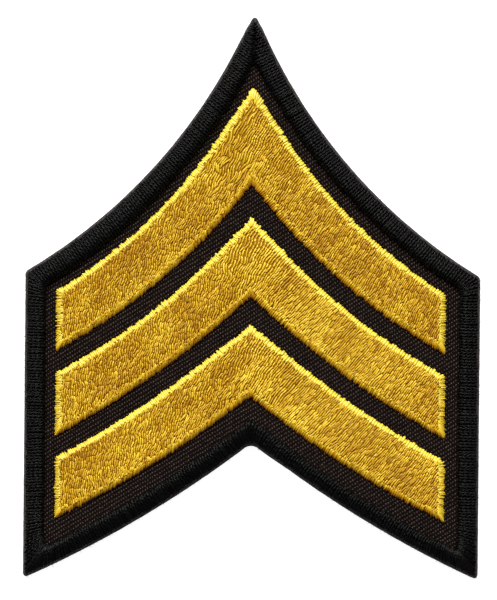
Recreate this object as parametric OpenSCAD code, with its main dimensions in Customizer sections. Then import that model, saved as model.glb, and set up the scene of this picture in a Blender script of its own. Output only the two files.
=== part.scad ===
// Embroidered rank chevron patch: a black-bordered shield with a hollow-sided peak and two
// pointed feet, carrying three gold chevrons. It lies on its back with its face up, its peak
// towards +Y, and the origin at the centre of its back face.

/* [Patch] */
// Width between the two straight sides
patch_w = 76.2; // [66:0.1:90]
// Height from the foot tips to the top of the peak
patch_h = 93.9; // [86:0.1:104]
// Height of the shoulders above the foot tips
shoulder_h = 50.6; // [44:0.1:56]
// Height of the notch between the feet
notch_h = 22.2; // [18:0.1:26]
// Radius of the hollow edges that rise to the peak
upper_r = 92.6; // [80:0.1:140]
// Radius of the bowed edges between the feet and the notch
lower_r = 188; // [120:1:260]
// Rounding of the peak
tip_r = 0.8; // [0.4:0.1:1.5]
// Rounding of the shoulders
shoulder_r = 1; // [0.4:0.1:2]
// Rounding of the foot tips
foot_r = 0.6; // [0.3:0.1:1.2]
// Rounding inside the notch
notch_r = 1.8; // [0.8:0.1:3]

/* [Layers] */
// Thickness of the stiff backing, whose cut edge shows as a thin rim
backing_t = 0.6; // [0.4:0.05:1.2]
// Thickness of the twill cloth
twill_t = 1; // [1:0.05:1.6]
// Clearance between one layer and the next
layer_gap = 0.05; // [0.03:0.01:0.2]

/* [Border] */
// Bare rim of ground between the cut edge and the border's stitches
rim_w = 0.35; // [0.2:0.05:0.8]
// Width of the stitched border along the hollow upper edges
upper_border_w = 3.3; // [2.5:0.05:3.9]
// Width of the stitched border along the sides
side_border_w = 3.05; // [2.2:0.05:3.9]
// Width of the stitched border along the lower edges
lower_border_w = 2.75; // [2:0.05:3.9]
// Height of the border's crown above the ground
border_rise = 0.85; // [0.5:0.05:1.4]
// Width of the flat along the border's crest
border_crest = 0.6; // [0.2:0.1:1]
// Height of the border where its crown starts
border_foot = 0.35; // [0.1:0.05:0.45]

/* [Chevrons] */
// Twill between the peak of the border and the tip of the top chevron, along the centre line
tip_gap = 2.2; // [1:0.1:5]
// Twill above the ends of the top chevron, straight up
shoulder_gap = 1.75; // [0.8:0.05:4]
// Twill between the chevron ends and the side border
side_gap = 1.95; // [0.8:0.05:4]
// Twill between one chevron and the next, square to their edges
chevron_gap = 2.9; // [1.5:0.05:4.5]
// Twill between the bottom chevron and the notch of the border, along the centre line
notch_gap = 3.6; // [1.5:0.1:6]
// Twill under the ends of the bottom chevron, straight down
foot_gap = 3.7; // [1.5:0.1:6]
// Width of the satin outline round each chevron
outline_w = 1.25; // [0.8:0.05:1.8]
// Height of the outline's crown above the ground
outline_rise = 0.75; // [0.5:0.05:1.3]
// Width of the flat along the outline's crest
outline_crest = 0.25; // [0.1:0.05:0.4]
// Height of the outline where its crown starts
outline_foot = 0.4; // [0.1:0.05:0.45]
// Rounding of the chevrons' tips, as a share of the outline's width
tip_bluntness = 1.2; // [0.6:0.1:1.4]
// Height of the filling stitches above the ground
fill_rise = 0.6; // [0.3:0.05:1.2]
// Clearance between an outline and the filling inside it
fill_gap = 0.1; // [0.05:0.01:0.2]

/* [Hidden] */
$fn = 240;

backing_colour = [0.08, 0.08, 0.09];
twill_colour = [0.14, 0.11, 0.1];
border_colour = [0.09, 0.09, 0.09];
outline_colour = [1, 0.85, 0.28];
fill_colour = [0.89, 0.69, 0.17];

// Each row is one chevron, from the top one down. The first two columns say how far down the
// whole stack of chevrons its lower edge lies, and the last how far round that edge is bent.
LOWER_EDGES = [
    // share on the centre line, share at the ends, radius as a share of patch_w
    [0.34, 0.27, 1.34],
    [0.69, 0.64, 2.06],
    [1.00, 1.00, 2.37],
];
// Radius of the top chevron's upper edge, as a share of patch_w
top_edge_curve = 1.13;

// How far cutting shapes run past the faces that they cut
past = 1;
// How much larger than its corner a rounding is, and flatter than its wall a crown
proud = 1.02;
crown_ease = 1.2;

half_w = patch_w / 2;
foot_y = -patch_h / 2;
peak_y = patch_h / 2;
ground_z = backing_t + layer_gap;
stitch_z = ground_z + twill_t + layer_gap;

// Every outline here is the same on both sides, each with an upper arc, a straight side
// and a lower arc. It is held as [upper centre, upper radius, side x, lower centre, lower radius]
function upper_c(s) = s[0];
function upper_radius(s) = s[1];
function side_x(s) = s[2];
function lower_c(s) = s[3];
function lower_radius(s) = s[4];

// Height of an arc's lowest side above x
function arc_y(c, r, x) = c.y - sqrt(r ^ 2 - (x - c.x) ^ 2);

// Centre, up and to the right, at distances rp from p and rq from q
function arc_centre(p, rp, q, rq) =
    let (d = norm(q - p), u = (q - p) / d, along = (rp ^ 2 - rq ^ 2 + d ^ 2) / (2 * d))
    p + along * u + sqrt(rp ^ 2 - along ^ 2) * [-u.y, u.x];

function toward(from, to, dist) = from + (to - from) * dist / norm(to - from);

// The same outline moved inwards by a width for each of its three edges
function inset(s, upper_w, side_w, lower_w) = [
    upper_c(s), upper_radius(s) + upper_w, side_x(s) - side_w,
    lower_c(s), lower_radius(s) - lower_w
];

function upper_y(s, x) = arc_y(upper_c(s), upper_radius(s), x);
function lower_y(s, x) = arc_y(lower_c(s), lower_radius(s), x);

tip_c = [0, peak_y - proud * tip_r];
foot_c = [half_w - foot_r, foot_y + proud * foot_r];
notch_c = [0, foot_y + notch_h - notch_r];
patch_upper_c = arc_centre(tip_c, upper_r + tip_r, [half_w, foot_y + shoulder_h], upper_r);
patch_lower_c = arc_centre(notch_c, lower_r + notch_r, foot_c, lower_r - foot_r);
shoulder_c = [half_w - shoulder_r,
    arc_y(patch_upper_c, upper_r + shoulder_r, half_w - shoulder_r)];

patch = [patch_upper_c, upper_r, half_w, patch_lower_c, lower_r];
border = inset(patch, rim_w, rim_w, rim_w);
window = inset(border, upper_border_w, side_border_w, lower_border_w);

// The stack of chevrons, from the top one's upper edge to the bottom one's lower edge
end_x = side_x(window) - side_gap;
stack_top = [upper_y(window, 0) - tip_gap, upper_y(window, end_x) - shoulder_gap];
stack_foot = [lower_y(window, 0) + notch_gap, lower_y(window, end_x) + foot_gap];

function edge_centre(on_centre_line, at_end, r) =
    arc_centre([0, on_centre_line], r, [end_x, at_end], r);

// Lower edge of chevron i, as [centre, radius]
function lower_edge(i) =
    let (row = LOWER_EDGES[i], r = row[2] * patch_w, deep = stack_top - stack_foot)
    [edge_centre(stack_top[0] - row[0] * deep[0], stack_top[1] - row[1] * deep[1], r), r];

// Upper edge of chevron i: an even gap of twill below the chevron above it
function upper_edge(i) =
    i == 0
    ? [edge_centre(stack_top[0], stack_top[1], top_edge_curve * patch_w), top_edge_curve * patch_w]
    : lower_edge(i - 1) + [[0, 0], chevron_gap];

function chevron(i) = concat(upper_edge(i), end_x, lower_edge(i));

module both_sides() {
    children();
    mirror([1, 0, 0]) children();
}

// Depth from the upper arc's centre, above which nothing of an outline lies, to below the patch
function reach(s) = upper_c(s).y + patch_h;

module half_plan(s) {
    difference() {
        intersection() {
            translate(lower_c(s)) circle(lower_radius(s));
            translate([0, -patch_h]) square([side_x(s), reach(s)]);
        }
        translate(upper_c(s)) circle(upper_radius(s));
    }
}

function beyond(c, p) = c + 1.2 * (p - c);

// What a rounding of radius r about c leaves outside it, between its ends a and b, at corner p.
// The round stands a little proud, so that it cuts its two edges at a clear angle.
module outside_rounding(c, r, a, p, b) {
    difference() {
        polygon([c, a, p, b]);
        translate(c) circle(r * proud);
    }
}

// What is cut off the peak of half an outline to round it. It reaches past the centre line.
module peak_rounding(s, r) {
    c = [0, arc_y(upper_c(s), upper_radius(s) + r, 0)];
    outside_rounding(c, r, toward(upper_c(s), c, upper_radius(s)),
        beyond(c, [0, upper_y(s, 0)]), c - [past, 0]);
}

module patch_half() {
    difference() {
        half_plan(patch);
        peak_rounding(patch, tip_r);
        outside_rounding(shoulder_c, shoulder_r, toward(patch_upper_c, shoulder_c, upper_r),
            beyond(shoulder_c, [half_w, upper_y(patch, half_w)]), [half_w, shoulder_c.y]);
        outside_rounding(foot_c, foot_r, toward(patch_lower_c, foot_c, lower_r),
            beyond(foot_c, [half_w, lower_y(patch, half_w)]), [half_w, foot_c.y]);
    }
    outside_rounding(notch_c, notch_r, toward(patch_lower_c, notch_c, lower_r),
        [0, lower_y(patch, 0)], notch_c);
}

module ground_layer(z, t) {
    translate([0, 0, z]) linear_extrude(t) both_sides() patch_half();
}

// A crown rounds a wall over from its foot, at distance r from an axis, to its flat crest,
// which lies run further in. Its arc is a little flatter than one that would meet the crest
// without an edge.
function crown_radius(run, sag) = crown_ease * (run ^ 2 + sag ^ 2) / (2 * sag);
function crown_centre(r, run, foot, rise, crown_r) =
    arc_centre([r, foot], crown_r, [r - run, rise], crown_r);

// Section from the axis to a wall whose top is rounded over inwards
module rounded(r, run, foot, rise, past) {
    crown_r = crown_radius(run, rise - foot);
    translate([0, -past]) square([r - run, rise + 2 * past]);
    intersection() {
        translate([r - 1.5 * run, -past]) square([1.5 * run, rise + past]);
        translate(crown_centre(r, run, foot, rise, crown_r)) circle(crown_r);
    }
}

// Section from the axis to an opening whose rim is rounded over outwards
module flared(r, run, foot, rise, past) {
    crown_r = crown_radius(run, rise - foot);
    centre = crown_centre(r, run, foot, rise, crown_r);
    difference() {
        translate([0, -past]) square([r + run, rise + 2 * past]);
        intersection() {
            translate([r, -2 * past]) square([2 * run, rise + 2 * past]);
            translate([2 * r - centre.x, centre.y]) circle(crown_r);
        }
    }
}

module turned(centre) {
    translate(centre) rotate_extrude() children();
}
module along_side(s) {
    translate([0, upper_c(s).y, 0]) rotate([90, 0, 0]) linear_extrude(reach(s)) children();
}

// Half of a crowned band of stitches just inside an outline
module crowned_half(s, widths, crest, foot, rise) {
    runs = (widths - [crest, crest, crest]) / 2;
    inner = inset(s, widths[0], widths[1], widths[2]);
    difference() {
        intersection() {
            turned(lower_c(s)) rounded(lower_radius(s), runs[2], foot, rise, 0);
            along_side(s) rounded(side_x(s), runs[1], foot, rise, 0);
        }
        turned(upper_c(s)) flared(upper_radius(s), runs[0], foot, rise, past);
        difference() {
            intersection() {
                turned(lower_c(s)) flared(lower_radius(inner), runs[2], foot, rise, past);
                translate([-past, 0, 0]) along_side(s)
                    flared(side_x(inner) + past, runs[1], foot, rise, past);
            }
            turned(upper_c(s)) rounded(upper_radius(inner), runs[0], foot, rise, 2 * past);
        }
    }
}

module backing() {
    color(backing_colour) ground_layer(0, backing_t);
}

module twill_ground() {
    color(twill_colour) ground_layer(ground_z, twill_t);
}

module edge_border() {
    color(border_colour) translate([0, 0, stitch_z]) intersection() {
        both_sides() crowned_half(border, [upper_border_w, side_border_w, lower_border_w],
            border_crest, border_foot, border_rise);
        linear_extrude(border_rise) both_sides() patch_half();
    }
}

module chevron_outline(i) {
    s = chevron(i);
    color(outline_colour) translate([0, 0, stitch_z]) both_sides() difference() {
        crowned_half(s, [outline_w, outline_w, outline_w],
            outline_crest, outline_foot, outline_rise);
        translate([0, 0, -past]) linear_extrude(outline_rise + 2 * past)
            peak_rounding(s, tip_bluntness * outline_w);
    }
}

module chevron_fill(i) {
    inside = outline_w + fill_gap;
    color(fill_colour) translate([0, 0, stitch_z]) linear_extrude(fill_rise)
        both_sides() half_plan(inset(chevron(i), inside, inside, inside));
}

backing();
twill_ground();
edge_border();
chevron_outline(0);  // chevron_outline_top
chevron_outline(1);  // chevron_outline_middle
chevron_outline(2);  // chevron_outline_bottom
chevron_fill(0);  // chevron_fill_top
chevron_fill(1);  // chevron_fill_middle
chevron_fill(2);  // chevron_fill_bottom
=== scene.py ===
"""An embroidered rank chevron patch that lies on its back, lit from the side of its peak."""

import math

import bmesh
import bpy
import numpy as np
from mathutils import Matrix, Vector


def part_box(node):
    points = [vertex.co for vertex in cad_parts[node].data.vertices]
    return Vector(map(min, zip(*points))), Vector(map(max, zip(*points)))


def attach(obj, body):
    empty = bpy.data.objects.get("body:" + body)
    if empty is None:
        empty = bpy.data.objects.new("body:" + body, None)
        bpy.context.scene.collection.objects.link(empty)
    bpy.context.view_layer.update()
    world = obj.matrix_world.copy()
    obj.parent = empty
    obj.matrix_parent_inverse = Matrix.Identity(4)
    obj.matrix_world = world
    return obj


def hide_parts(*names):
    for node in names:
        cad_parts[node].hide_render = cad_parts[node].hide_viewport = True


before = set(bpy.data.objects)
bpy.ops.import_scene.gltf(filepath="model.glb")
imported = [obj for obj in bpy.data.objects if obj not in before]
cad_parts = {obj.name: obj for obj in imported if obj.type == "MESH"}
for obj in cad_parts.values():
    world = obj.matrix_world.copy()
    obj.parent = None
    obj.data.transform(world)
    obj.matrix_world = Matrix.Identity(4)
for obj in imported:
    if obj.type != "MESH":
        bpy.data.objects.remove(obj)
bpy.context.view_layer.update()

# Shapes are worked out in millimetres, and MM turns them into Blender's metres
MM = 0.001


def cad_box(node):
    low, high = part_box(node)
    return np.array(low) / MM, np.array(high) / MM


# What the frame gives: the patch's box and the height of each layer
PATCH_LOW, PATCH_HIGH = cad_box("backing")
HALF_W = PATCH_HIGH[0]
FOOT_Y, PEAK_Y = PATCH_LOW[1], PATCH_HIGH[1]
BACKING_TOP = PATCH_HIGH[2]
TWILL_BOTTOM, TWILL_TOP = cad_box("twill_ground")[0][2], cad_box("twill_ground")[1][2]
STITCH_Z = cad_box("edge_border")[0][2]
BORDER_TOP = cad_box("edge_border")[1][2]
FILL_TOP = cad_box("chevron_fill_top")[1][2]

# Outline of the patch
PATCH_W = 2 * HALF_W
SHOULDER_H, NOTCH_H = 50.6, 22.2
UPPER_R, LOWER_R = 92.6, 188.0
TIP_R, SHOULDER_R, FOOT_R, NOTCH_R = 0.816, 1.0, 0.6, 1.8

# Bands of stitches, and the gaps of twill round the chevrons
RIM_W = 0.35
UPPER_BORDER_W, SIDE_BORDER_W, LOWER_BORDER_W = 3.3, 3.05, 2.75
TIP_GAP, SHOULDER_GAP, SIDE_GAP, CHEVRON_GAP, NOTCH_GAP, FOOT_GAP = 2.2, 1.75, 1.95, 2.9, 3.6, 3.7
OUTLINE_W = 1.25
TOP_EDGE_CURVE = 1.13
# For each chevron's lower edge: how far down the stack it lies on the centre line and at the
# ends, and its radius as a share of PATCH_W
LOWER_EDGES = [(0.34, 0.27, 1.34), (0.69, 0.64, 2.06), (1.00, 1.00, 2.37)]
CHEVRONS = ["top", "middle", "bottom"]

# The gold is sewn this far off the centre line. The upper edges of each chevron run straight to
# a tip that lies this far below the point where their arcs would meet.
GOLD_X = -0.24
TIP_DROPS = [1.5, 0.5, 0.45]
# How much more uneven the outline's outer ends get at the tip
TIP_RAGGED = [0.2, 0.03, 0.03]

# Threads: their spacing, half their width as a share of it, and half their thickness
BORDER_PITCH, BORDER_COVER, BORDER_THREAD_T = 0.49, 0.54, 0.15
FILL_PITCH, FILL_COVER, FILL_T = 0.335, 0.51, 0.15
TWIST_PITCH = 1.6
# An outline's threads on its upper edge, its side and its lower edge: their spacing, half their
# width and thickness, how much lighter they are as painted light (upper edges and sides lit more
# than the lower edges), and how much darker their outer ends are as painted shade at their foot
OUTLINE_PITCH_LEFT = [0.34, 0.26, 0.38]
OUTLINE_PITCH_RIGHT = [0.48, 0.26, 0.38]
OUTLINE_THREAD_LEFT = [0.23, 0.15, 0.22]
OUTLINE_THREAD_RIGHT = [0.3, 0.15, 0.22]
SATIN_T = 0.07
OUTLINE_THREAD_T = [SATIN_T, 0.03, SATIN_T]
OUTLINE_PAINTED_LIGHT = [0.2, 0.14, 0.0]
OUTLINE_FOOT_PAINTED_SHADE = [0.0, -0.1, -0.6]
# How far the inner ends of an outline's lower stitches lean towards its peak, on each side
LEAN_LEFT, LEAN_RIGHT = 1.1, 0.1
# How far the filling stitches stand above their solid
FILL_LIFT = 0.02
# How far the paddings lie below the middle of the threads, or below the filling's top, and how
# far apart the points round them are
UNDER_BORDER, UNDER_OUTLINE, UNDER_FILL = 0.16, 0.08, 0.21
PADDING_STEP = 0.9

# Direction of the filling stitches, in degrees from +X, at places across the patch
FILL_X = [-32, -18, -6, 0, 6, 18, 32]
FILL_ANGLES = {
    "top": [86, 74, 68, 64, 56, 58, 68],
    "middle": [92, 80, 76, 66, 46, 48, 56],
    "bottom": [90, 80, 70, 64, 46, 48, 54],
}
# The stitches are longer and straighter on the right-hand side: where the change starts and
# ends, then for the left and the right their length, turn in degrees and sway
FILL_SIDES = [-2, 8]
FILL_STITCH = [1.05, 1.3]
FILL_YAW = [6.5, 4.5]
FILL_SWAY = [0.13, 0.07]
# How much darker each chevron's filling is, and how much lighter it gets towards the centre line
# as a painted sheen
FILL_SHADES = [-0.22, -0.13, -0.13]
CENTRE_PAINTED_SHEEN, CENTRE_W = 0.16, 8.0

# Twill floats: the spacing of the warp threads, how far apart the floats lie along one, and the
# slope of the ribs that they make
WARP_PITCH, FLOAT_REPEAT, RIB_SLOPE = 0.4, 0.73, 31.0
# A float's length, half its width as a share of the spacing, half its thickness, and how far it
# stands above the cloth between the floats
FLOAT_LENGTH, FLOAT_COVER, FLOAT_T, FLOAT_RISE = 0.6, 0.43, 0.12, 0.14


def arc_centre(p, rp, q, rq):
    """The point up and to the right that is rp from p and rq from q."""
    d = math.dist(p, q)
    u = (q - p) / d
    along = (rp**2 - rq**2 + d**2) / (2 * d)
    return p + along * u + math.sqrt(rp**2 - along**2) * np.array([-u[1], u[0]])


class Outline:
    """An outline that is the same on both sides: an upper arc, a straight side, a lower arc."""

    def __init__(self, upper_c, upper_r, side_x, lower_c, lower_r, tip_drop=0):
        self.upper_c, self.upper_r = upper_c, upper_r
        self.side_x = side_x
        self.lower_c, self.lower_r = lower_c, lower_r
        self.tip_drop = tip_drop
        self.tip = np.array([0, self.arc_y(0) - tip_drop])
        to_centre = upper_c - self.tip
        away = np.linalg.norm(to_centre)
        turn = math.atan2(*to_centre[::-1]) - math.asin(min(upper_r / away, 1))
        self.tip_way = np.array([math.cos(turn), math.sin(turn)])
        self.straight_x = math.sqrt(max(away**2 - upper_r**2, 0)) * self.tip_way[0]

    def inset(self, upper_w, side_w, lower_w):
        return Outline(
            self.upper_c, self.upper_r + upper_w, self.side_x - side_w,
            self.lower_c, self.lower_r - lower_w, self.tip_drop,
        )

    def arc_y(self, x):
        return self.upper_c[1] - np.sqrt(self.upper_r**2 - (x - self.upper_c[0]) ** 2)

    def tip_y(self, x):
        return self.tip[1] + x * self.tip_way[1] / self.tip_way[0]

    def upper_y(self, x):
        return np.where(x < self.straight_x, self.tip_y(x), self.arc_y(x))

    def trimmed(self, points):
        """Points on the upper arc, with those near the tip moved down to its straight run."""
        y = np.where(points[:, 0] < self.straight_x, self.tip_y(points[:, 0]), points[:, 1])
        return np.stack([points[:, 0], np.minimum(y, points[:, 1])], -1)

    def lower_y(self, x):
        return self.lower_c[1] - np.sqrt(self.lower_r**2 - (x - self.lower_c[0]) ** 2)

    def depth(self, x, y):
        """How deep a point lies inside the nearest edge; negative outside."""
        x = np.abs(x)
        above = np.hypot(x - self.upper_c[0], y - self.upper_c[1]) - self.upper_r
        by_tip = self.tip_way[1] * x - self.tip_way[0] * (y - self.tip[1])
        above = np.where(x < self.straight_x, by_tip, above)
        below = self.lower_r - np.hypot(x - self.lower_c[0], y - self.lower_c[1])
        return np.minimum(np.minimum(above, below), self.side_x - x)


TIP_C = np.array([0, PEAK_Y - TIP_R])
FOOT_C = np.array([HALF_W - FOOT_R, FOOT_Y + FOOT_R])
NOTCH_C = np.array([0, FOOT_Y + NOTCH_H - NOTCH_R])
PATCH = Outline(
    arc_centre(TIP_C, UPPER_R + TIP_R, np.array([HALF_W, FOOT_Y + SHOULDER_H]), UPPER_R),
    UPPER_R, HALF_W,
    arc_centre(NOTCH_C, LOWER_R + NOTCH_R, FOOT_C, LOWER_R - FOOT_R), LOWER_R,
)
BORDER = PATCH.inset(RIM_W, RIM_W, RIM_W)
WINDOW = BORDER.inset(UPPER_BORDER_W, SIDE_BORDER_W, LOWER_BORDER_W)
END_X = WINDOW.side_x - SIDE_GAP
STACK_TOP = np.array([WINDOW.upper_y(0) - TIP_GAP, WINDOW.upper_y(END_X) - SHOULDER_GAP])
STACK_FOOT = np.array([WINDOW.lower_y(0) + NOTCH_GAP, WINDOW.lower_y(END_X) + FOOT_GAP])


def edge_centre(on_centre_line, at_end, r):
    return arc_centre(np.array([0, on_centre_line]), r, np.array([END_X, at_end]), r)


def chevron(i):
    """Chevron i's outline. Its upper edge keeps an even gap below the chevron above it."""
    centres, radii = [], []
    for on_centre_line, at_end, curve in LOWER_EDGES:
        r = curve * PATCH_W
        at = STACK_TOP - np.array([on_centre_line, at_end]) * (STACK_TOP - STACK_FOOT)
        centres.append(edge_centre(*at, r))
        radii.append(r)
    if i == 0:
        r = TOP_EDGE_CURVE * PATCH_W
        upper = edge_centre(*STACK_TOP, r), r
    else:
        upper = centres[i - 1], radii[i - 1] + CHEVRON_GAP
    return Outline(*upper, END_X, centres[i], radii[i], TIP_DROPS[i])


CHEVRON_OUTLINES = [chevron(i) for i in range(len(CHEVRONS))]


# Bands of satin stitches

def on_circle(centre, r, angle):
    return np.stack([centre[0] + r * np.cos(angle), centre[1] + r * np.sin(angle)], -1)


def angle_of(centre, x, y):
    return math.atan2(y - centre[1], x - centre[0]) % (2 * math.pi)


def edges_of(outer, inner):
    """The three edges of a band, from its top to its bottom on the right-hand side. Each is
    (where it runs on the outer line, where it runs on the inner line, size of one unit in
    millimetres, point on the outer line, point on the inner line)."""
    upper = [
        [angle_of(s.upper_c, 0, s.arc_y(0)), angle_of(s.upper_c, s.side_x, s.arc_y(s.side_x))]
        for s in (outer, inner)
    ]
    side = [[-s.arc_y(s.side_x), -s.lower_y(s.side_x)] for s in (outer, inner)]
    lower = [
        [-angle_of(s.lower_c, s.side_x, s.lower_y(s.side_x)), -angle_of(s.lower_c, 0, s.lower_y(0))]
        for s in (outer, inner)
    ]
    return [
        (*upper, outer.upper_r,
         lambda q: outer.trimmed(on_circle(outer.upper_c, outer.upper_r, q)),
         lambda q: inner.trimmed(on_circle(inner.upper_c, inner.upper_r, q))),
        (*side, 1,
         lambda q: np.stack([np.full_like(q, outer.side_x), -q], -1),
         lambda q: np.stack([np.full_like(q, inner.side_x), -q], -1)),
        (*lower, outer.lower_r,
         lambda q: on_circle(outer.lower_c, outer.lower_r, -q),
         lambda q: on_circle(inner.lower_c, inner.lower_r, -q)),
    ]


# How far the fan at a corner reaches: a share of the corner's own run, or at least so far
FAN_REACH = 1.9
LEAST_FAN = 2.0


def fanned(out_q, in_q, unit, pitch, mitred):
    """Where the stitches of one edge lie on its outer and its inner line, fanned out at its
    corners, and how clear of the fans each one is, from 0 to 1."""
    start, end = (np.array(out_q) + np.array(in_q)) / 2
    if mitred:
        start = out_q[0]
    count = max(3, round((end - start) * unit / pitch))
    q = start + (end - start) * (np.arange(count) + 0.5) / count
    q_out, q_in = q.copy(), q.copy()
    clear = np.ones(count)
    for corner, from_end, at in ((0, start, q - start), (1, end, end - q)):
        if mitred and corner == 0:
            continue
        apart = abs(out_q[corner] - in_q[corner])
        fan = max(FAN_REACH * apart, LEAST_FAN / unit)
        share = np.clip(1 - at / fan, 0, 1) ** 2
        q_out += (out_q[corner] - from_end) * share
        q_in += (in_q[corner] - from_end) * share
        clear = np.minimum(clear, np.clip(at / (2 * fan), 0, 1))
    return q_out, q_in, clear


def rails(outer, inner, pitches, mitred_tip=False, lean=0.0):
    """The two ends of each stitch across a band, on its right-hand side from top to bottom,
    and the number of the edge that each lies on. Stitches lie square to the edges and fan
    round the corners, except at a mitred tip. Those of the lower edge lean."""
    outs, ins, edges = [], [], []
    for n, (out_q, in_q, unit, out_at, in_at) in enumerate(edges_of(outer, inner)):
        mitred = mitred_tip and n == 0
        q_out, q_in, clear = fanned(out_q, in_q, unit, pitches[n], mitred)
        if n == 2:
            q_in += lean / unit * clear
        p, r = out_at(q_out), in_at(q_in)
        if mitred:
            past = np.clip(p[:, 0] / np.maximum(p[:, 0] - r[:, 0], 1e-9), 0, 1)
            r = p + (r - p) * np.where(r[:, 0] < 0, past, 1)[:, None]
        outs.append(p)
        ins.append(r)
        edges.append(np.full(len(p), n))
    return np.concatenate(outs), np.concatenate(ins), np.concatenate(edges)


def whole(right, left):
    """The right-hand side from top to bottom, then the left-hand side from bottom to top."""
    return np.concatenate([right, left[::-1] * [-1, 1]])


# The peak is drawn in over this height, at its very top by this share of its width
PINCH_H, PINCH = 1.8, 0.35
# How much fuller the rim is than its outline: over its upper left edge, under its lower left
# edge, and beside its right and its left side
FULLER_OVER, FULLER_UNDER, FULLER_RIGHT, FULLER_LEFT = 0.38, 0.3, 0.16, 0.06


def pinched(points):
    """Plan points with the patch's peak drawn to a sharper point."""
    near = np.clip((points[..., 1] - (PEAK_Y - PINCH_H)) / PINCH_H, 0, 1)
    points = points.copy()
    points[..., 0] *= 1 - PINCH * near
    return points


def as_sewn(points):
    """Plan points of the patch's rim, which is a little fuller on the left than on the right."""
    x, y = points[..., 0], points[..., 1]
    over = FULLER_OVER * np.clip(-x / 3, 0, 1) * np.clip((y + 3) / 6, 0, 1)
    under = FULLER_UNDER * np.clip((6.5 - x) / 5, 0, 1) * np.clip((-20 - y) / 4, 0, 1)
    fuller = np.where(x > 0, FULLER_RIGHT, FULLER_LEFT)
    aside = fuller * np.sign(x) * np.abs(x / HALF_W) ** 4
    return pinched(np.stack([x + aside, y + over - under], -1))


def crown(d, width, outer_foot, inner_foot, rise, outer_run, inner_run):
    """Height of a band at distance d from its outer edge. It rises from each foot to its crest
    over a share of its width."""
    out = 1 - np.clip(d / (outer_run * width), 0, 1)
    into = 1 - np.clip((width - d) / (inner_run * width), 0, 1)
    return np.minimum(rise - (rise - outer_foot) * out**2, rise - (rise - inner_foot) * into**2)


# Meshes

def thread_frames(paths):
    """For each point of each path: across it in plan, square to both, and how far along."""
    n, k, _ = paths.shape
    chord = paths[:, -1] - paths[:, 0]
    across = np.stack([chord[:, 1], -chord[:, 0], np.zeros(n)], -1)
    across /= np.maximum(np.linalg.norm(across, axis=1, keepdims=True), 1e-9)
    tangent = np.gradient(paths, axis=1)
    tangent /= np.maximum(np.linalg.norm(tangent, axis=2, keepdims=True), 1e-9)
    side = np.repeat(across[:, None], k, 1)
    normal = np.cross(side, tangent)
    normal /= np.maximum(np.linalg.norm(normal, axis=2, keepdims=True), 1e-9)
    steps = np.linalg.norm(np.diff(paths, axis=1), axis=2)
    return side, normal, np.concatenate([np.zeros((n, 1)), np.cumsum(steps, 1)], 1)


def tubes(paths, half_w, half_t, sides, ends, rng):
    """Closed threads with an oval section round paths, an array of threads by points by 3.
    ends scales the sections near both ends."""
    n, k, _ = paths.shape
    side, normal, along = thread_frames(paths)
    phi = 2 * math.pi * np.arange(sides) / sides - math.pi / 2
    taper = np.ones(k)
    taper[: len(ends)] = ends
    taper[-len(ends):] = ends[::-1]
    wide = half_w[:, None, None] * np.cos(phi) * taper[:, None]
    thick = half_t[:, None, None] * np.sin(phi) * taper[:, None]
    co = paths[:, :, None] + side[:, :, None] * wide[..., None] + normal[:, :, None] * thick[..., None]
    return {"co": co, "along": along, "tone": rng.normal(size=n)}


def plied(paths, half_w, half_t, rng):
    """Two strands twisted round each other in place of each thread."""
    side, normal, along = thread_frames(paths)
    start = rng.random((len(paths), 1)) * 2 * math.pi
    strands = []
    for turn in (0, math.pi):
        a = 2 * math.pi * along / TWIST_PITCH + start + turn
        wide = half_w[:, None] / 2 * np.cos(a)
        thick = half_t[:, None] / 2 * np.sin(a)
        strands.append(paths + side * wide[..., None] + normal * thick[..., None])
    return np.concatenate(strands), np.tile(half_w * 0.55, 2), np.tile(half_t * 0.6, 2)


def strip_cells(n, aspect):
    """Corners and size of n equal cells that fill a unit square, each about aspect as wide."""
    columns = max(1, math.ceil(math.sqrt(n / aspect)))
    rows = math.ceil(n / columns)
    i = np.arange(n)
    return np.stack([(i % columns) / columns, (i // columns) / rows], -1), (1 / columns, 1 / rows)


def tube_caps(tube, cells, cell_w, cell_h):
    """The faces that close both ends of tubes(), with the same two maps as tube_faces()."""
    n, k, sides, _ = tube["co"].shape
    caps, cap_uv, cap_bake = [], [], []
    ring = np.arange(sides)
    turn = 2 * math.pi * ring / sides
    for end, order, place in ((0, ring, 0.3), (k - 1, ring[::-1], 0.7)):
        caps.append((np.arange(n)[:, None] * k + end) * sides + order)
        cap_uv.append(
            np.stack(np.broadcast_arrays(tube["along"][:, end, None], order / sides), -1)
        )
        spot = np.stack(
            [cell_w * (place + 0.1 * np.cos(turn[order])),
             cell_h * (0.9 + 0.06 * np.sin(turn[order]))], -1
        )
        cap_bake.append(cells[:, None] + spot)
    return np.concatenate(caps), np.concatenate(cap_uv), np.concatenate(cap_bake)


def tube_faces(tube):
    """Faces of tubes(), with each corner's place along and round its thread, and its place on
    a map where every thread's skin is a strip of its own."""
    n, k, sides, _ = tube["co"].shape
    i, a, j = np.meshgrid(np.arange(n), np.arange(k - 1), np.arange(sides), indexing="ij")
    i, a, j = i.ravel(), a.ravel(), j.ravel()
    corner_a = np.stack([a, a + 1, a + 1, a], -1)
    corner_j = np.stack([j, j, j + 1, j + 1], -1)
    quads = (i[:, None] * k + corner_a) * sides + corner_j % sides
    thread_uv = np.stack([tube["along"][i[:, None], corner_a], corner_j / sides], -1)
    length = tube["along"][:, -1].mean()
    girth = np.linalg.norm(np.diff(tube["co"][:, k // 2], axis=1), axis=2).sum(1).mean()
    cells, (cell_w, cell_h) = strip_cells(n, length / girth)
    bake_uv = cells[i[:, None]] + np.stack(
        [cell_w * (0.04 + 0.92 * corner_a / (k - 1)), cell_h * (0.04 + 0.76 * corner_j / sides)], -1
    )
    return [(quads, thread_uv, bake_uv), tube_caps(tube, cells, cell_w, cell_h)]


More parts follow.
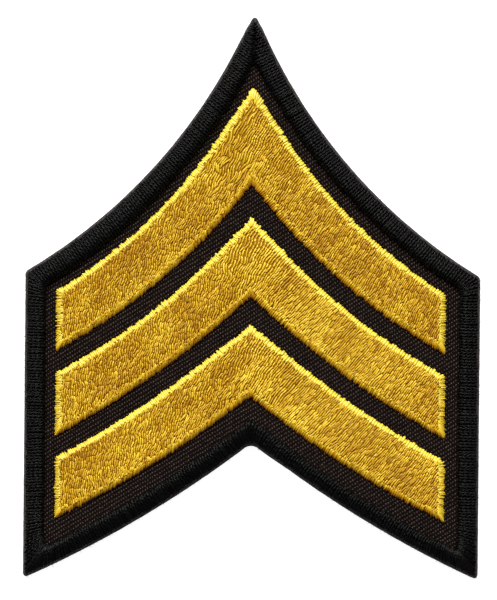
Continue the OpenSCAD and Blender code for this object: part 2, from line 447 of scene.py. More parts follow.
def mesh_piece(name, co, face_sets, material, nodes=(), numbers=()):
    """A piece on the root body, from points in millimetres and sets of (faces, thread map,
    bake map), where every face of a set has as many corners. numbers holds one for each
    point, by name."""
    me = bpy.data.meshes.new(name)
    me.vertices.add(len(co))
    me.vertices.foreach_set("co", (co * MM).astype(np.float32).ravel())
    corners = np.concatenate([f.ravel() for f, _, _ in face_sets]).astype(np.int32)
    totals = np.concatenate([np.full(len(f), f.shape[1]) for f, _, _ in face_sets])
    starts = np.concatenate([[0], np.cumsum(totals)[:-1]])
    me.loops.add(len(corners))
    me.loops.foreach_set("vertex_index", corners)
    me.polygons.add(len(totals))
    me.polygons.foreach_set("loop_start", starts.astype(np.int32))
    me.polygons.foreach_set("loop_total", totals.astype(np.int32))
    me.polygons.foreach_set("use_smooth", np.ones(len(totals), bool))
    me.update(calc_edges=True)
    for layer, which in (("thread", 1), ("OFBake", 2)):
        if face_sets[0][which] is not None:
            uv = np.concatenate([s[which].reshape(-1, 2) for s in face_sets])
            me.uv_layers.new(name=layer).data.foreach_set("uv", uv.astype(np.float32).ravel())
    for key, values in dict(numbers).items():
        me.attributes.new(key, "FLOAT", "POINT").data.foreach_set(
            "value", values.astype(np.float32)
        )
    me.materials.append(material)
    me.validate()
    ob = bpy.data.objects.new(name, me)
    bpy.context.scene.collection.objects.link(ob)
    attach(ob, "root")
    if nodes:
        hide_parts(*nodes)
    return ob


def thread_piece(name, tube, material, nodes=(), shade=0.0):
    """Threads as a piece. Each has a tone of its own, and shade is given by thread and point: painted
    light and shade, and the fillings' darker tones.
    """
    n, k, sides, _ = tube["co"].shape
    numbers = {
        "tone": np.repeat(tube["tone"], k * sides),
        "shade": np.repeat(np.broadcast_to(shade, (n, k)).ravel(), sides),
    }
    return mesh_piece(
        name, tube["co"].reshape(-1, 3), tube_faces(tube), material, nodes, numbers
    )


# Materials

def node(tree, kind, inputs=(), **settings):
    """A shader node, with its settings and with its inputs linked or set."""
    made = tree.nodes.new(kind)
    for key, value in settings.items():
        setattr(made, key, value)
    for key, value in dict(inputs).items():
        if isinstance(value, bpy.types.NodeSocket):
            tree.links.new(value, made.inputs[key])
        else:
            made.inputs[key].default_value = value
    return made


def math_node(tree, operation, *values):
    return node(tree, "ShaderNodeMath", enumerate(values), operation=operation).outputs[0]


def ramp(tree, factor, stops):
    made = node(tree, "ShaderNodeValToRGB", {"Fac": factor})
    elements = made.color_ramp.elements
    while len(elements) < len(stops):
        elements.new(1)
    for element, (place, colour) in zip(elements, stops):
        element.position = place
        element.color = (*colour, 1)
    return made.outputs["Color"]


def new_material(name):
    made = bpy.data.materials.new(name)
    made.use_nodes = True
    tree = made.node_tree
    tree.nodes.clear()
    out = node(tree, "ShaderNodeOutputMaterial")
    shader = node(tree, "ShaderNodeBsdfPrincipled")
    tree.links.new(shader.outputs[0], out.inputs["Surface"])
    return made, tree, shader


def noise(tree, vector, scale, detail=2.0, rough=0.5):
    return node(
        tree, "ShaderNodeTexNoise",
        {"Vector": vector, "Scale": scale, "Detail": detail, "Roughness": rough},
    ).outputs["Fac"]


def thread_material(name, stops, roughness, specular, tint, tone_share, grain, patch_share,
                    flank_shade, bump):
    """Embroidery thread: filaments along it, two plies twisted round each other, a tone of its
    own for each stitch, slow changes of colour over the patch, and painted shade down its flanks
    with a painted highlight along its crest. The shares say how far each of these moves the colour
    along its stops."""
    made, tree, shader = new_material(name)
    place = node(tree, "ShaderNodeTexCoord").outputs["Object"]
    uv = node(tree, "ShaderNodeUVMap", uv_map="thread").outputs["UV"]
    split = node(tree, "ShaderNodeSeparateXYZ", {0: uv})
    tone = node(tree, "ShaderNodeAttribute", attribute_name="tone").outputs["Fac"]
    stretch = node(
        tree, "ShaderNodeCombineXYZ",
        {0: math_node(tree, "MULTIPLY", split.outputs[0], 1.7),
         1: math_node(tree, "MULTIPLY", split.outputs[1], 9.0),
         2: math_node(tree, "MULTIPLY", tone, 7.0)},
    ).outputs[0]
    filaments = noise(tree, stretch, 1.6, 3.0, 0.6)
    turns = math_node(tree, "DIVIDE", split.outputs[0], 0.5 * TWIST_PITCH)
    turns = math_node(tree, "ADD", turns, math_node(tree, "MULTIPLY", split.outputs[1], 2.0))
    ply = math_node(tree, "SINE", math_node(tree, "MULTIPLY", turns, 2 * math.pi))
    patches = noise(tree, place, 130.0, 3.0, 0.55)
    shade = node(tree, "ShaderNodeAttribute", attribute_name="shade").outputs["Fac"]
    factor = math_node(tree, "MULTIPLY_ADD", tone, tone_share, shade)
    for part, share in ((filaments, grain), (patches, patch_share)):
        spread = math_node(tree, "SUBTRACT", part, 0.5)
        factor = math_node(tree, "ADD", factor, math_node(tree, "MULTIPLY", spread, share))
    # Painted light round each thread: lighter along its top, darker down its flanks
    round_turn = math_node(tree, "MULTIPLY_ADD", split.outputs[1], 2 * math.pi, -math.pi)
    facing_up = math_node(tree, "COSINE", round_turn)
    painted_crest_light = math_node(tree, "MULTIPLY_ADD", facing_up, flank_shade, 0.5 - 0.8 * flank_shade)
    factor = math_node(tree, "ADD", factor, painted_crest_light)
    tree.links.new(ramp(tree, factor, stops), shader.inputs["Base Color"])
    rough = math_node(tree, "MULTIPLY_ADD", filaments, 0.25, roughness - 0.12)
    tree.links.new(rough, shader.inputs["Roughness"])
    shader.inputs["Specular IOR Level"].default_value = specular
    shader.inputs["Specular Tint"].default_value = (*tint, 1)
    height = math_node(tree, "MULTIPLY_ADD", ply, 0.35, filaments)
    raised = node(
        tree, "ShaderNodeBump", {"Strength": bump, "Distance": 0.05 * MM, "Height": height}
    )
    tree.links.new(raised.outputs[0], shader.inputs["Normal"])
    return made


def cloth_material(name, stops, scale, roughness, specular, bump):
    """Plain cloth or pressed fibre: speckled by its fibres, with slower changes of tone."""
    made, tree, shader = new_material(name)
    place = node(tree, "ShaderNodeTexCoord").outputs["Object"]
    fibres = noise(tree, place, scale, 4.0, 0.65)
    slow = noise(tree, place, scale / 12, 2.0)
    factor = math_node(tree, "MULTIPLY_ADD", slow, 0.4, math_node(tree, "MULTIPLY", fibres, 0.7))
    tree.links.new(ramp(tree, factor, stops), shader.inputs["Base Color"])
    shader.inputs["Roughness"].default_value = roughness
    shader.inputs["Specular IOR Level"].default_value = specular
    raised = node(
        tree, "ShaderNodeBump", {"Strength": bump, "Distance": 0.08 * MM, "Height": fibres}
    )
    tree.links.new(raised.outputs[0], shader.inputs["Normal"])
    return made


BLACK_THREAD = thread_material(
    "black_thread", [(0.1, (0.0006, 0.0006, 0.0006)), (1.0, (0.0045, 0.0045, 0.0043))],
    roughness=0.34, specular=0.12, tint=(1.0, 1.0, 0.95),
    tone_share=0.18, grain=0.5, patch_share=0.5, flank_shade=0.0, bump=0.6,
)
GOLD_SATIN = thread_material(
    "gold_satin_thread", [(0.0, (0.42, 0.14, 0.001)), (0.42, (0.74, 0.43, 0.011)),
                          (0.75, (0.93, 0.72, 0.06))],
    roughness=0.34, specular=0.8, tint=(1.0, 1.0, 0.7),
    tone_share=0.04, grain=0.2, patch_share=0.4, flank_shade=0.1, bump=0.15,
)
GOLD_FILL = thread_material(
    "gold_fill_thread", [(0.0, (0.33, 0.125, 0.001)), (0.5, (0.68, 0.385, 0.008)),
                         (1.0, (0.95, 0.67, 0.05))],
    roughness=0.4, specular=0.6, tint=(1.0, 1.0, 0.6),
    tone_share=0.16, grain=0.95, patch_share=1.15, flank_shade=0.95, bump=0.4,
)
# Padding under the gold, darker than its thread: painted shade in the gaps between the stitches
GOLD_UNDER_SHADED = cloth_material(
    "gold_underlay_painted_shade", [(0.2, (0.27, 0.11, 0.001)), (0.9, (0.42, 0.2, 0.003))],
    scale=2500.0, roughness=0.6, specular=0.1, bump=0.6,
)
BLACK_UNDER = cloth_material(
    "black_underlay", [(0.2, (0.001, 0.001, 0.001)), (0.9, (0.004, 0.004, 0.004))],
    scale=2500.0, roughness=0.7, specular=0.05, bump=0.6,
)
TWILL_FLOATS = thread_material(
    "twill_floats", [(0.1, (0.008, 0.0048, 0.0038)), (0.9, (0.032, 0.022, 0.018))],
    roughness=0.4, specular=0.34, tint=(1.0, 0.82, 0.75),
    tone_share=0.35, grain=0.7, patch_share=0.5, flank_shade=0.0, bump=0.5,
)
TWILL_BASE = cloth_material(
    "twill_cloth", [(0.2, (0.003, 0.0017, 0.0013)), (0.9, (0.01, 0.006, 0.005))],
    scale=2200.0, roughness=0.8, specular=0.02, bump=0.6,
)
BACKING = cloth_material(
    "stiff_backing", [(0.2, (0.01, 0.01, 0.012)), (0.9, (0.035, 0.035, 0.04))],
    scale=1400.0, roughness=0.7, specular=0.25, bump=0.5,
)
CUT_TWILL = cloth_material(
    "cut_twill_edge", [(0.2, (0.018, 0.015, 0.013)), (0.9, (0.07, 0.058, 0.052))],
    scale=2500.0, roughness=0.8, specular=0.2, bump=0.8,
)
CUT_BACKING = cloth_material(
    "cut_backing_edge", [(0.2, (0.008, 0.008, 0.01)), (0.9, (0.03, 0.03, 0.035))],
    scale=2000.0, roughness=0.6, specular=0.25, bump=0.3,
)
FRAY = cloth_material(
    "frayed_fibres", [(0.2, (0.03, 0.026, 0.023)), (0.9, (0.09, 0.075, 0.068))],
    scale=900.0, roughness=0.7, specular=0.2, bump=0.1,
)


# Cloth layers

def arc(centre, r, start, end, steps):
    """Points on a circle from one angle to another, the short way round."""
    turn = (end - start + math.pi) % (2 * math.pi) - math.pi
    return on_circle(centre, r, start + turn * np.linspace(0, 1, steps))


def direction(a, b):
    return math.atan2(b[1] - a[1], b[0] - a[0])


def patch_line(spacing):
    """The patch's cut edge as a closed line with its rounded corners."""
    s = PATCH
    shoulder = np.array([
        HALF_W - SHOULDER_R,
        s.upper_c[1] - math.sqrt((UPPER_R + SHOULDER_R) ** 2
                                 - (HALF_W - SHOULDER_R - s.upper_c[0]) ** 2),
    ])
    half = np.concatenate([
        arc(TIP_C, TIP_R, math.pi / 2, direction(TIP_C, s.upper_c), 5)[1:],
        arc(s.upper_c, UPPER_R, direction(s.upper_c, TIP_C), direction(s.upper_c, shoulder),
            round(56 / spacing))[1:],
        arc(shoulder, SHOULDER_R, direction(shoulder, s.upper_c), 0, 5)[1:],
        np.stack([np.full(round(48 / spacing), HALF_W),
                  np.linspace(shoulder[1], FOOT_C[1], round(48 / spacing))], -1)[1:],
        arc(FOOT_C, FOOT_R, 0, direction(s.lower_c, FOOT_C), 6)[1:],
        arc(s.lower_c, LOWER_R, direction(s.lower_c, FOOT_C), direction(s.lower_c, NOTCH_C),
            round(42 / spacing))[1:],
        arc(NOTCH_C, NOTCH_R, direction(NOTCH_C, s.lower_c), math.pi / 2, 5)[1:-1],
    ])
    top, notch = np.array([[0, PEAK_Y]]), np.array([[0, FOOT_Y + NOTCH_H]])
    return as_sewn(np.concatenate([top, half, notch, half[::-1] * [-1, 1]]))


def inwards(line):
    run = np.roll(line, -1, 0) - np.roll(line, 1, 0)
    way = np.stack([run[:, 1], -run[:, 0]], -1)
    return way / np.maximum(np.linalg.norm(way, axis=1, keepdims=True), 1e-9)


def cut_line(line, depth, rough, rng):
    """A closed line moved in by depth and, at random, by up to rough more."""
    shift = rng.random(len(line))
    shift = (shift + np.roll(shift, 1) + np.roll(shift, -1)) / 3
    return line + inwards(line) * (depth + rough * shift)[:, None]


def slab(name, rings, face_material, edge_material, stands_for):
    """A closed slab between two flat faces, with rings of (line, height) round its cut edge."""
    me = bpy.data.meshes.new(name)
    bm = bmesh.new()
    loops = [[bm.verts.new((x, y, z)) for x, y in line] for line, z in rings]
    for low, high in zip(loops, loops[1:]):
        for i in range(len(low)):
            j = (i + 1) % len(low)
            bm.faces.new([low[j], low[i], high[i], high[j]]).material_index = 1
    ends = [bm.faces.new(loops[0]), bm.faces.new(loops[-1][::-1])]
    bm.normal_update()
    bmesh.ops.triangulate(bm, faces=ends)
    bmesh.ops.recalc_face_normals(bm, faces=bm.faces)
    bmesh.ops.scale(bm, vec=(MM, MM, MM), verts=bm.verts)
    bm.to_mesh(me)
    bm.free()
    me.materials.append(face_material)
    me.materials.append(edge_material)
    ob = bpy.data.objects.new(name, me)
    bpy.context.scene.collection.objects.link(ob)
    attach(ob, "root")
    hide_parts(stands_for)
    return ob


def make_layers():
    rng = np.random.default_rng(11)
    line = patch_line(0.4)
    back = slab(
        "backing_cloth",
        [(cut_line(line, 0.1, 0.1, rng), 0), (cut_line(line, 0, 0.06, rng), 0.12),
         (cut_line(line, 0, 0.06, rng), BACKING_TOP)],
        BACKING, CUT_BACKING, "backing",
    )
    top = TWILL_TOP - FLOAT_RISE
    twill = slab(
        "twill_cloth",
        [(cut_line(line, 0, 0.2, rng), TWILL_BOTTOM), (cut_line(line, 0, 0.2, rng), top - 0.3),
         (cut_line(line, 0.35, 0.25, rng), top)],
        TWILL_BASE, CUT_TWILL, "twill_ground",
    )
    return back, twill


def make_weave():
    """The raised floats of the twill, wherever it shows between the stitches."""
    rng = np.random.default_rng(12)
    shift = WARP_PITCH * math.tan(math.radians(RIB_SLOPE))
    warps = np.arange(-HALF_W, HALF_W, WARP_PITCH)
    rows = np.arange(FOOT_Y - HALF_W, PEAK_Y + HALF_W, FLOAT_REPEAT)
    i, row = np.meshgrid(np.arange(len(warps)), rows, indexing="ij")
    x = warps[i] + rng.normal(scale=0.02, size=i.shape)
    y = row + shift * i + rng.normal(scale=0.03, size=i.shape)
    x, y = x.ravel(), y.ravel()
    under_border, under_gold = 0.3, 0.4
    shows = WINDOW.depth(x, y) > -under_border
    for outline in CHEVRON_OUTLINES:
        shows &= outline.depth(x - GOLD_X, y) < under_gold
    x, y = x[shows], y[shows]
    n, points, dip = len(x), 5, 0.2
    t = np.linspace(-1, 1, points)
    lean = rng.normal(scale=0.05, size=(n, 1))
    length = FLOAT_LENGTH * (1 + rng.normal(scale=0.06, size=(n, 1)))
    lift = rng.normal(scale=0.015, size=(n, 1))
    paths = np.stack([
        x[:, None] + lean * t,
        y[:, None] + length / 2 * t,
        TWILL_TOP - FLOAT_T - dip * np.abs(t) ** 2 + lift,
    ], -1)
    half_w = np.full(n, WARP_PITCH * FLOAT_COVER)
    tube = tubes(paths, half_w, np.full(n, FLOAT_T), 4, [0.35, 0.9], rng)
    return thread_piece("twill_weave", tube, TWILL_FLOATS)


def even_ends(points):
    """Shares of the way along a stitch, closer together near both ends."""
    return (1 - np.cos(math.pi * np.arange(points) / (points - 1))) / 2


def stitch_paths(p, q, z, points, bow, loose, rng):
    """Paths from p to q, at the heights that z gives for the distance along and the width."""
    t = even_ends(points)
    width = np.linalg.norm(q - p, axis=1)[:, None]
    plan = p[:, None] + (q - p)[:, None] * t[None, :, None]
    across = np.stack([(q - p)[:, 1], -(q - p)[:, 0]], -1) / np.maximum(width, 1e-9)
    bend = rng.normal(scale=bow, size=(len(p), 1)) * np.sin(math.pi * t)
    plan = plan + across[:, None] * bend[..., None]
    height = z(t * width, width) + rng.normal(scale=loose / 2, size=(len(p), 1))
    return np.concatenate([plan, height[..., None]], -1)


def satin(name, ends, profile, *, half_w, half_t, plies, ragged, loose, taper, points, seed,
          shade, material, stands_for):
    """A band of satin stitches between two lines of ends. ragged says how uneven the outer and
    the inner ends are, loose how far the threads stray, and taper how thin their ends get."""
    rng = np.random.default_rng(seed)
    p, q = ends
    n = len(p)
    reach = q - p
    reach = reach / np.maximum(np.linalg.norm(reach, axis=1, keepdims=True), 1e-9)
    uneven = rng.normal(size=(n, 2)) * ragged
    p = p - reach * uneven[:, :1] + rng.normal(scale=loose, size=(n, 2))
    q = q + reach * uneven[:, 1:] + rng.normal(scale=loose, size=(n, 2))
    paths = stitch_paths(p, q, profile, points, 0.02, loose, rng)
    half_w = half_w * (1 + rng.normal(scale=0.08, size=n))
    half_t = half_t * (1 + rng.normal(scale=0.06, size=n))
    if plies == 2:
        paths, half_w, half_t = plied(paths, half_w, half_t, rng)
    tube = tubes(paths, half_w, half_t, 6 if plies == 1 else 5, taper, rng)
    return thread_piece(name, tube, material, [stands_for], shade)


def band_body(name, ends, profile, material):
    """The padding under a band of satin stitches: a closed ring with a crowned top."""
    steps = np.array([0, 0.08, 0.25, 0.5, 0.75, 0.92, 1])
    p, q = ends
    width = np.linalg.norm(q - p, axis=1)[:, None]
    plan = p[:, None] + (q - p)[:, None] * steps[None, :, None]
    height = profile(steps * width, width)
    top = np.concatenate([plan, height[..., None]], -1)
    bottom = top[:, [-1, 0]].copy()
    bottom[..., 2] = STITCH_Z
    ring = np.concatenate([top, bottom], 1)
    n, k, _ = ring.shape
    i, j = np.meshgrid(np.arange(n), np.arange(k), indexing="ij")
    i, j = i.ravel(), j.ravel()
    i2, j2 = (i + 1) % n, (j + 1) % k
    faces = np.stack([i * k + j, i * k + j2, i2 * k + j2, i2 * k + j], -1)
    return mesh_piece(name, ring.reshape(-1, 3), [(faces, None, None)], material)


def band_ends(outer, inner, spacing):
    p, q, _ = rails(outer, inner, [spacing] * 3)
    return whole(p, p), whole(q, q)


def border_height(d, width):
    rise = BORDER_TOP - STITCH_Z - BORDER_THREAD_T
    return STITCH_Z + crown(
        d, width, outer_foot=0.1, inner_foot=0.1, rise=rise, outer_run=0.75, inner_run=0.24
    )


def outline_height(d, width):
    rise = FILL_TOP + FILL_LIFT - STITCH_Z - SATIN_T - 0.05
    return STITCH_Z + crown(
        d, width, outer_foot=-0.02, inner_foot=rise - 0.05, rise=rise, outer_run=1.0, inner_run=0.2
    )


def lowered(profile, amount):
    return lambda d, width: np.maximum(profile(d, width) - amount, STITCH_Z + 0.02)


def make_border():
    p, q, _ = rails(BORDER, WINDOW, [BORDER_PITCH] * 3, mitred_tip=True)
    p, q = as_sewn(whole(p, p)), pinched(whole(q, q))
    # None at the very peak, and none that the mitre cuts too short
    shown = (p[:, 1] < PEAK_Y - 0.2) & (np.linalg.norm(q - p, axis=1) > 0.4)
    satin(
        "border_stitches", (p[shown], q[shown]), border_height,
        half_w=np.full(np.count_nonzero(shown), BORDER_PITCH * BORDER_COVER),
        half_t=BORDER_THREAD_T, plies=2, ragged=[0.08, 0.08], loose=0.04, taper=[0.45, 0.85],
        points=13, seed=21, shade=0.0, material=BLACK_THREAD,
        stands_for="edge_border",
    )
    narrow, widen = [0.25] * 3, [-0.25] * 3
    p, q = band_ends(BORDER.inset(*narrow), WINDOW.inset(*widen), PADDING_STEP)
    band_body(
        "border_padding", (as_sewn(p), pinched(q)), lowered(border_height, UNDER_BORDER),
        BLACK_UNDER,
    )


def make_outline(i):
    which = CHEVRONS[i]
    outer = CHEVRON_OUTLINES[i].inset(0.2, 0.05, 0)
    inner = CHEVRON_OUTLINES[i].inset(OUTLINE_W, OUTLINE_W, OUTLINE_W)
    right = rails(outer, inner, OUTLINE_PITCH_RIGHT, lean=LEAN_RIGHT)
    left = rails(outer, inner, OUTLINE_PITCH_LEFT, lean=LEAN_LEFT)
    off = np.array([GOLD_X, 0])
    ends = [whole(r, l) + off for r, l in zip(right[:2], left[:2])]
    half_w = np.concatenate([
        np.take(OUTLINE_THREAD_RIGHT, right[2]), np.take(OUTLINE_THREAD_LEFT, left[2])[::-1],
    ])
    edge = np.concatenate([right[2], left[2][::-1]])[:, None]
    points = 9
    near_foot = np.clip(1 - even_ends(points) / 0.7, 0, 1)
    # Painted light and shade: upper edges and sides lighter, the outer ends of the side and lower
    # stitches darker
    shade = np.take(OUTLINE_PAINTED_LIGHT, edge) + np.take(OUTLINE_FOOT_PAINTED_SHADE, edge) * near_foot
    by_tip = np.exp(-((ends[0][:, 0] / 1.3) ** 2)) * (edge[:, 0] == 0)
    ragged = np.stack([0.09 + TIP_RAGGED[i] * by_tip, np.full(len(by_tip), 0.18)], -1)
    satin(
        f"outline_stitches_{which}", ends, outline_height, half_w=half_w,
        half_t=np.take(OUTLINE_THREAD_T, edge[:, 0]), plies=1, ragged=ragged, loose=0.015,
        taper=[0.15, 0.6, 0.9], points=points, seed=31 + i, shade=shade, material=GOLD_SATIN,
        stands_for=f"chevron_outline_{which}",
    )
    narrow, widen = [0.2] * 3, [-0.15] * 3
    p, q = band_ends(outer.inset(*narrow), inner.inset(*widen), PADDING_STEP)
    band_body(
        f"outline_padding_{which}", (p + off, q + off), lowered(outline_height, UNDER_OUTLINE),
        GOLD_UNDER_SHADED,
    )


# Filling stitches

def fill_angle(which, x):
    return np.radians(np.interp(x, FILL_X, FILL_ANGLES[which]))


class Nearby:
    """Points in a grid, to tell whether a new one would come too close to them."""

    def __init__(self, size):
        self.size, self.cells = size, {}

    def add(self, x, y, row):
        key = (math.floor(x / self.size), math.floor(y / self.size))
        self.cells.setdefault(key, []).append((x, y, row))

    def crowded(self, x, y, gap, row=None):
        cx, cy = math.floor(x / self.size), math.floor(y / self.size)
        for i in (cx - 1, cx, cx + 1):
            for j in (cy - 1, cy, cy + 1):
                for px, py, other in self.cells.get((i, j), ()):
                    if other != row and (px - x) ** 2 + (py - y) ** 2 < gap * gap:
                        return True
        return False


def fill_rows(which, region, pitch, rng):
    """Rows of filling thread that follow the stitch direction, about a pitch apart. A row starts
    and goes on only where it has these shares of a pitch to the rows that are there."""
    step, start_share, least_share = 0.16, 0.88, 0.7

    def inside(x, y):
        return region.depth(x, y) > 0

    near = Nearby(pitch)
    rows = []
    start = (0.0, (float(region.upper_y(0)) + float(region.lower_y(0))) / 2)
    waiting = [start]
    while waiting:
        x0, y0 = waiting.pop(0)
        if not inside(x0, y0) or near.crowded(x0, y0, start_share * pitch):
            continue
        row = len(rows)
        line = [(x0, y0)]
        for way in (1, -1):
            x, y = x0, y0
            while True:
                a = float(fill_angle(which, x))
                x, y = x + way * step * math.cos(a), y + way * step * math.sin(a)
                if not inside(x, y) or near.crowded(x, y, least_share * pitch, row):
                    break
                line.append((x, y))
            line.reverse()
        for x, y in line:
            near.add(x, y, row)
        rows.append(np.array(line))
        apart = pitch * rng.uniform(0.93, 1.08, size=2)
        for x, y in line[::2]:
            a = float(fill_angle(which, x))
            for away in (apart[0], -apart[1]):
                waiting.append((x - away * math.sin(a), y + away * math.cos(a)))
    return rows


def by_side(x, values):
    """A value for the left-hand side and one for the right-hand side, blended between them."""
    return np.interp(x, FILL_SIDES, values)


def cut_rows(rows, region, points, rng):
    """The rows cut into stitches, each given by so many points along it. The cuts drift from row
    to row, in lines that follow the chevron's lower edge."""
    overlap, shortest = 0.1, 0.25
    made = []
    for line in rows:
        along = np.concatenate([[0], np.cumsum(np.linalg.norm(np.diff(line, axis=0), axis=1))])
        across = region.lower_r - np.hypot(np.abs(line[:, 0]) - region.lower_c[0],
                                           line[:, 1] - region.lower_c[1])
        square = np.clip(np.ptp(across) / max(along[-1], 1e-9), 0.4, 1)
        x = line[len(line) // 2, 0]
        length = by_side(x, FILL_STITCH)
        first = 0.3 * x + 0.35 * math.sin(1.7 * x) + 0.15 * rng.normal()
        count = across / (length * square) + first
        cuts = np.arange(math.floor(count.min()), math.ceil(count.max()) + 1)
        cuts = cuts + rng.normal(scale=0.2, size=len(cuts))
        order = np.argsort(count)
        at = np.interp(cuts, count[order], along[order])
        at = np.unique(np.concatenate([[0, along[-1]], at]))
        for low, high in zip(at, at[1:]):
            if high - low > shortest * length:
                s = np.linspace(low - overlap, high + overlap, points)
                made.append(np.stack([np.interp(s, along, line[:, 0]),
                                      np.interp(s, along, line[:, 1])], -1))
    return np.array(made)


def swayed(plan, rng):
    """Plan points moved to and fro, as the cloth shifts under the needle."""
    x, y = plan[..., 0], plan[..., 1]
    start = rng.random(2) * 2 * math.pi
    wave = np.sin(y / 0.5 + x / 1.9 + start[0]) + np.sin(y / 0.9 - x / 1.1 + start[1])
    return np.stack([x + wave * by_side(x, FILL_SWAY), y], -1)


def strayed(plan, rng):
    """Stitches in plan, each turned and moved a little by itself."""
    n = len(plan)
    middle = plan.mean(axis=1, keepdims=True)
    yaw = np.radians(by_side(middle[:, :, 0], FILL_YAW)) * rng.normal(size=(n, 1))
    arm = plan - middle
    turned = np.stack([arm[..., 0] * np.cos(yaw) - arm[..., 1] * np.sin(yaw),
                       arm[..., 0] * np.sin(yaw) + arm[..., 1] * np.cos(yaw)], -1)
    return middle + turned + rng.normal(scale=0.03, size=(n, 1, 2))


def make_fill(i):
    which = CHEVRONS[i]
    rng = np.random.default_rng(41 + i)
    under_outline = np.array([0.35, 0.15, 0.45])
    region = CHEVRON_OUTLINES[i].inset(*(OUTLINE_W - under_outline))
    rows = fill_rows(which, region, FILL_PITCH, rng)
    plan = swayed(cut_rows(rows, region, 6, rng), rng)
    plan = strayed(plan, rng) + [GOLD_X, 0]
    n, points, _ = plan.shape
    t = np.linspace(-1, 1, points)
    rise = rng.normal(scale=0.015, size=(n, 1)) + rng.normal(scale=0.04, size=(n, 1)) * t
    droop = 0.08 * np.abs(t) ** 3
    height = FILL_TOP + FILL_LIFT - FILL_T - droop + rise
    paths = np.concatenate([plan, height[..., None]], -1)
    half_w = FILL_PITCH * FILL_COVER * (1 + rng.normal(scale=0.08, size=n))
    tube = tubes(paths, half_w, np.full(n, FILL_T), 6, [0.5, 0.9], rng)
    # Painted sheen: the filling lighter towards the centre line
    near_centre = np.exp(-((plan[..., 0] / CENTRE_W) ** 2))
    thread_piece(
        f"fill_stitches_{which}", tube, GOLD_FILL, [f"chevron_fill_{which}"],
        FILL_SHADES[i] + CENTRE_PAINTED_SHEEN * near_centre,
    )
    top = FILL_TOP + FILL_LIFT - UNDER_FILL
    plate(f"fill_padding_{which}", region, top, GOLD_UNDER_SHADED)


def plate(name, region, top, material):
    """A closed flat plate over a chevron's field."""
    across, down = 81, 5
    x = np.linspace(-region.side_x, region.side_x, across)
    upper, lower = region.upper_y(np.abs(x)), region.lower_y(np.abs(x))
    share = np.linspace(0, 1, down)
    y = upper[:, None] + (lower - upper)[:, None] * share
    flat = np.stack(np.broadcast_arrays(x[:, None] + GOLD_X, y), -1)
    layers = [np.concatenate([flat, np.full((across, down, 1), z)], -1) for z in (top, STITCH_Z)]
    co = np.concatenate([layer.reshape(-1, 3) for layer in layers])
    i, j = np.meshgrid(np.arange(across - 1), np.arange(down - 1), indexing="ij")
    a = (i * down + j).ravel()
    up = np.stack([a, a + 1, a + down + 1, a + down], -1)
    under = up[:, ::-1] + across * down
    rim = np.concatenate([
        np.arange(across) * down,
        (across - 1) * down + np.arange(1, down),
        np.arange(across - 2, -1, -1) * down + down - 1,
        np.arange(down - 2, 0, -1),
    ])
    following = np.roll(rim, -1)
    wall = np.stack([rim, following, following + across * down, rim + across * down], -1)
    faces = np.concatenate([up, under, wall])
    return mesh_piece(name, co, [(faces, None, None)], material)


def make_fray():
    """Cut fibres that stand out of the twill's edge."""
    rng = np.random.default_rng(51)
    line = patch_line(0.2)
    n, points, half_t = 1300, 5, 0.022
    at = rng.integers(0, len(line), n)
    out = -inwards(line)[at]
    beside = np.stack([out[:, 1], -out[:, 0]], -1)
    turn = rng.normal(scale=0.9, size=(n, 1))
    way = out * np.cos(turn) + beside * np.sin(turn)
    length = 0.2 + 0.2 * rng.random((n, 1)) + 0.5 * (rng.random((n, 1)) ** 10)
    t = np.linspace(0, 1, points)
    curl = rng.normal(scale=0.3, size=(n, 1)) * t**2
    start = line[at] - out * (0.2 + 0.25 * rng.random((n, 1)))
    plan = start[:, None] + way[:, None] * (length * t)[..., None]
    plan += beside[:, None] * (curl * length)[..., None]
    low = TWILL_BOTTOM + (TWILL_TOP - TWILL_BOTTOM) * rng.random((n, 1))
    height = low + rng.normal(scale=0.25, size=(n, 1)) * t * length
    paths = np.concatenate([plan, height[..., None]], -1)
    tube = tubes(paths, np.full(n, half_t), np.full(n, half_t), 3, [0.9], rng)
    thread_piece("edge_fray", tube, FRAY)


# Studio

# A long lamp beyond the patch's peak, as a row of lights: their slant from straight down, how
# far each is turned, and their strength together
LAMP_SLANT = 50
LAMP_TURNS = [-30, -11, 8, 27, 46]
LAMP_ENERGY = 5.3
EVEN_LIGHT = 0.1


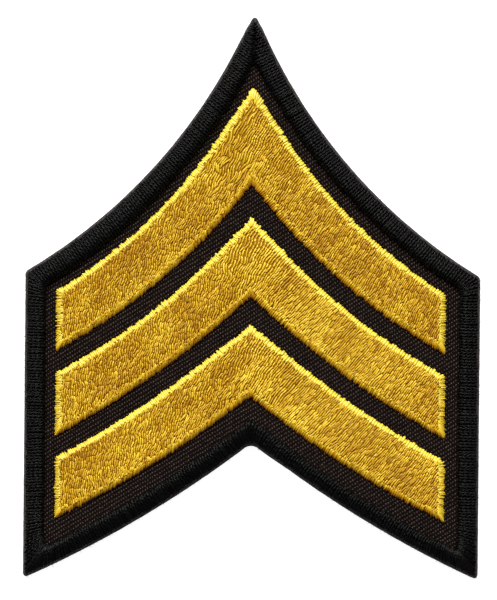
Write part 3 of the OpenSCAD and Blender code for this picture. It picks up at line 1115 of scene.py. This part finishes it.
def make_studio():
    """A pale floor, the lamp and even light all round."""
    bpy.ops.mesh.primitive_plane_add(size=4, location=(0, 0, -0.02 * MM))
    floor = bpy.context.object
    floor.name = "studio_floor"
    made, tree, shader = new_material("pale_floor")
    place = node(tree, "ShaderNodeTexCoord").outputs["Object"]
    grain = noise(tree, place, 400.0, 3.0)
    tree.links.new(
        ramp(tree, grain, [(0.3, (0.42, 0.42, 0.42)), (0.7, (0.44, 0.44, 0.44))]),
        shader.inputs["Base Color"],
    )
    shader.inputs["Roughness"].default_value = 0.9
    shader.inputs["Emission Color"].default_value = (1, 1, 1, 1)
    shader.inputs["Emission Strength"].default_value = 0.95
    floor.data.materials.append(made)

    for i, turn in enumerate(LAMP_TURNS):
        lamp = bpy.data.objects.new(f"key_light_{i}", bpy.data.lights.new("key", "SUN"))
        lamp.data.energy = LAMP_ENERGY / len(LAMP_TURNS)
        lamp.data.angle = math.radians(16)
        lamp.rotation_euler = (math.radians(-LAMP_SLANT), 0, math.radians(turn))
        bpy.context.scene.collection.objects.link(lamp)

    world = bpy.data.worlds.new("even_light")
    bpy.context.scene.world = world
    world.use_nodes = True
    world.node_tree.nodes["Background"].inputs["Color"].default_value = (1, 1, 1, 1)
    world.node_tree.nodes["Background"].inputs["Strength"].default_value = EVEN_LIGHT


# The photograph's frame: its size, the pixel where the patch's origin falls, how many
# millimetres a pixel spans, and how far the patch is turned clockwise
FRAME_W, FRAME_H = 497, 600
ORIGIN_PX = (252.45, 297.0)
MM_PER_PX = 0.16777
TURN = math.radians(0.51)
SENSOR, LENS = 36.0, 400.0
SHARP_Z = 1.6


def make_camera():
    cam = bpy.data.objects.new("camera", bpy.data.cameras.new("camera"))
    bpy.context.scene.collection.objects.link(cam)
    cam.data.sensor_width, cam.data.lens = SENSOR, LENS
    right, up = (FRAME_W / 2 - ORIGIN_PX[0]), (ORIGIN_PX[1] - FRAME_H / 2)
    c, s = math.cos(TURN), math.sin(TURN)
    x = (right * c - up * s) * MM_PER_PX
    y = (right * s + up * c) * MM_PER_PX
    away = FRAME_H * MM_PER_PX * LENS / SENSOR
    cam.location = (x * MM, y * MM, (SHARP_Z + away) * MM)
    cam.rotation_euler = (0, 0, TURN)
    cam.data.clip_start, cam.data.clip_end = 0.01, 10
    bpy.context.scene.camera = cam
    bpy.context.scene.view_settings.view_transform = "Standard"


make_camera()
make_studio()
backing_cloth, twill_cloth = make_layers()
twill_weave = make_weave()
make_border()
for number in range(len(CHEVRONS)):
    make_outline(number)
    make_fill(number)
make_fray()
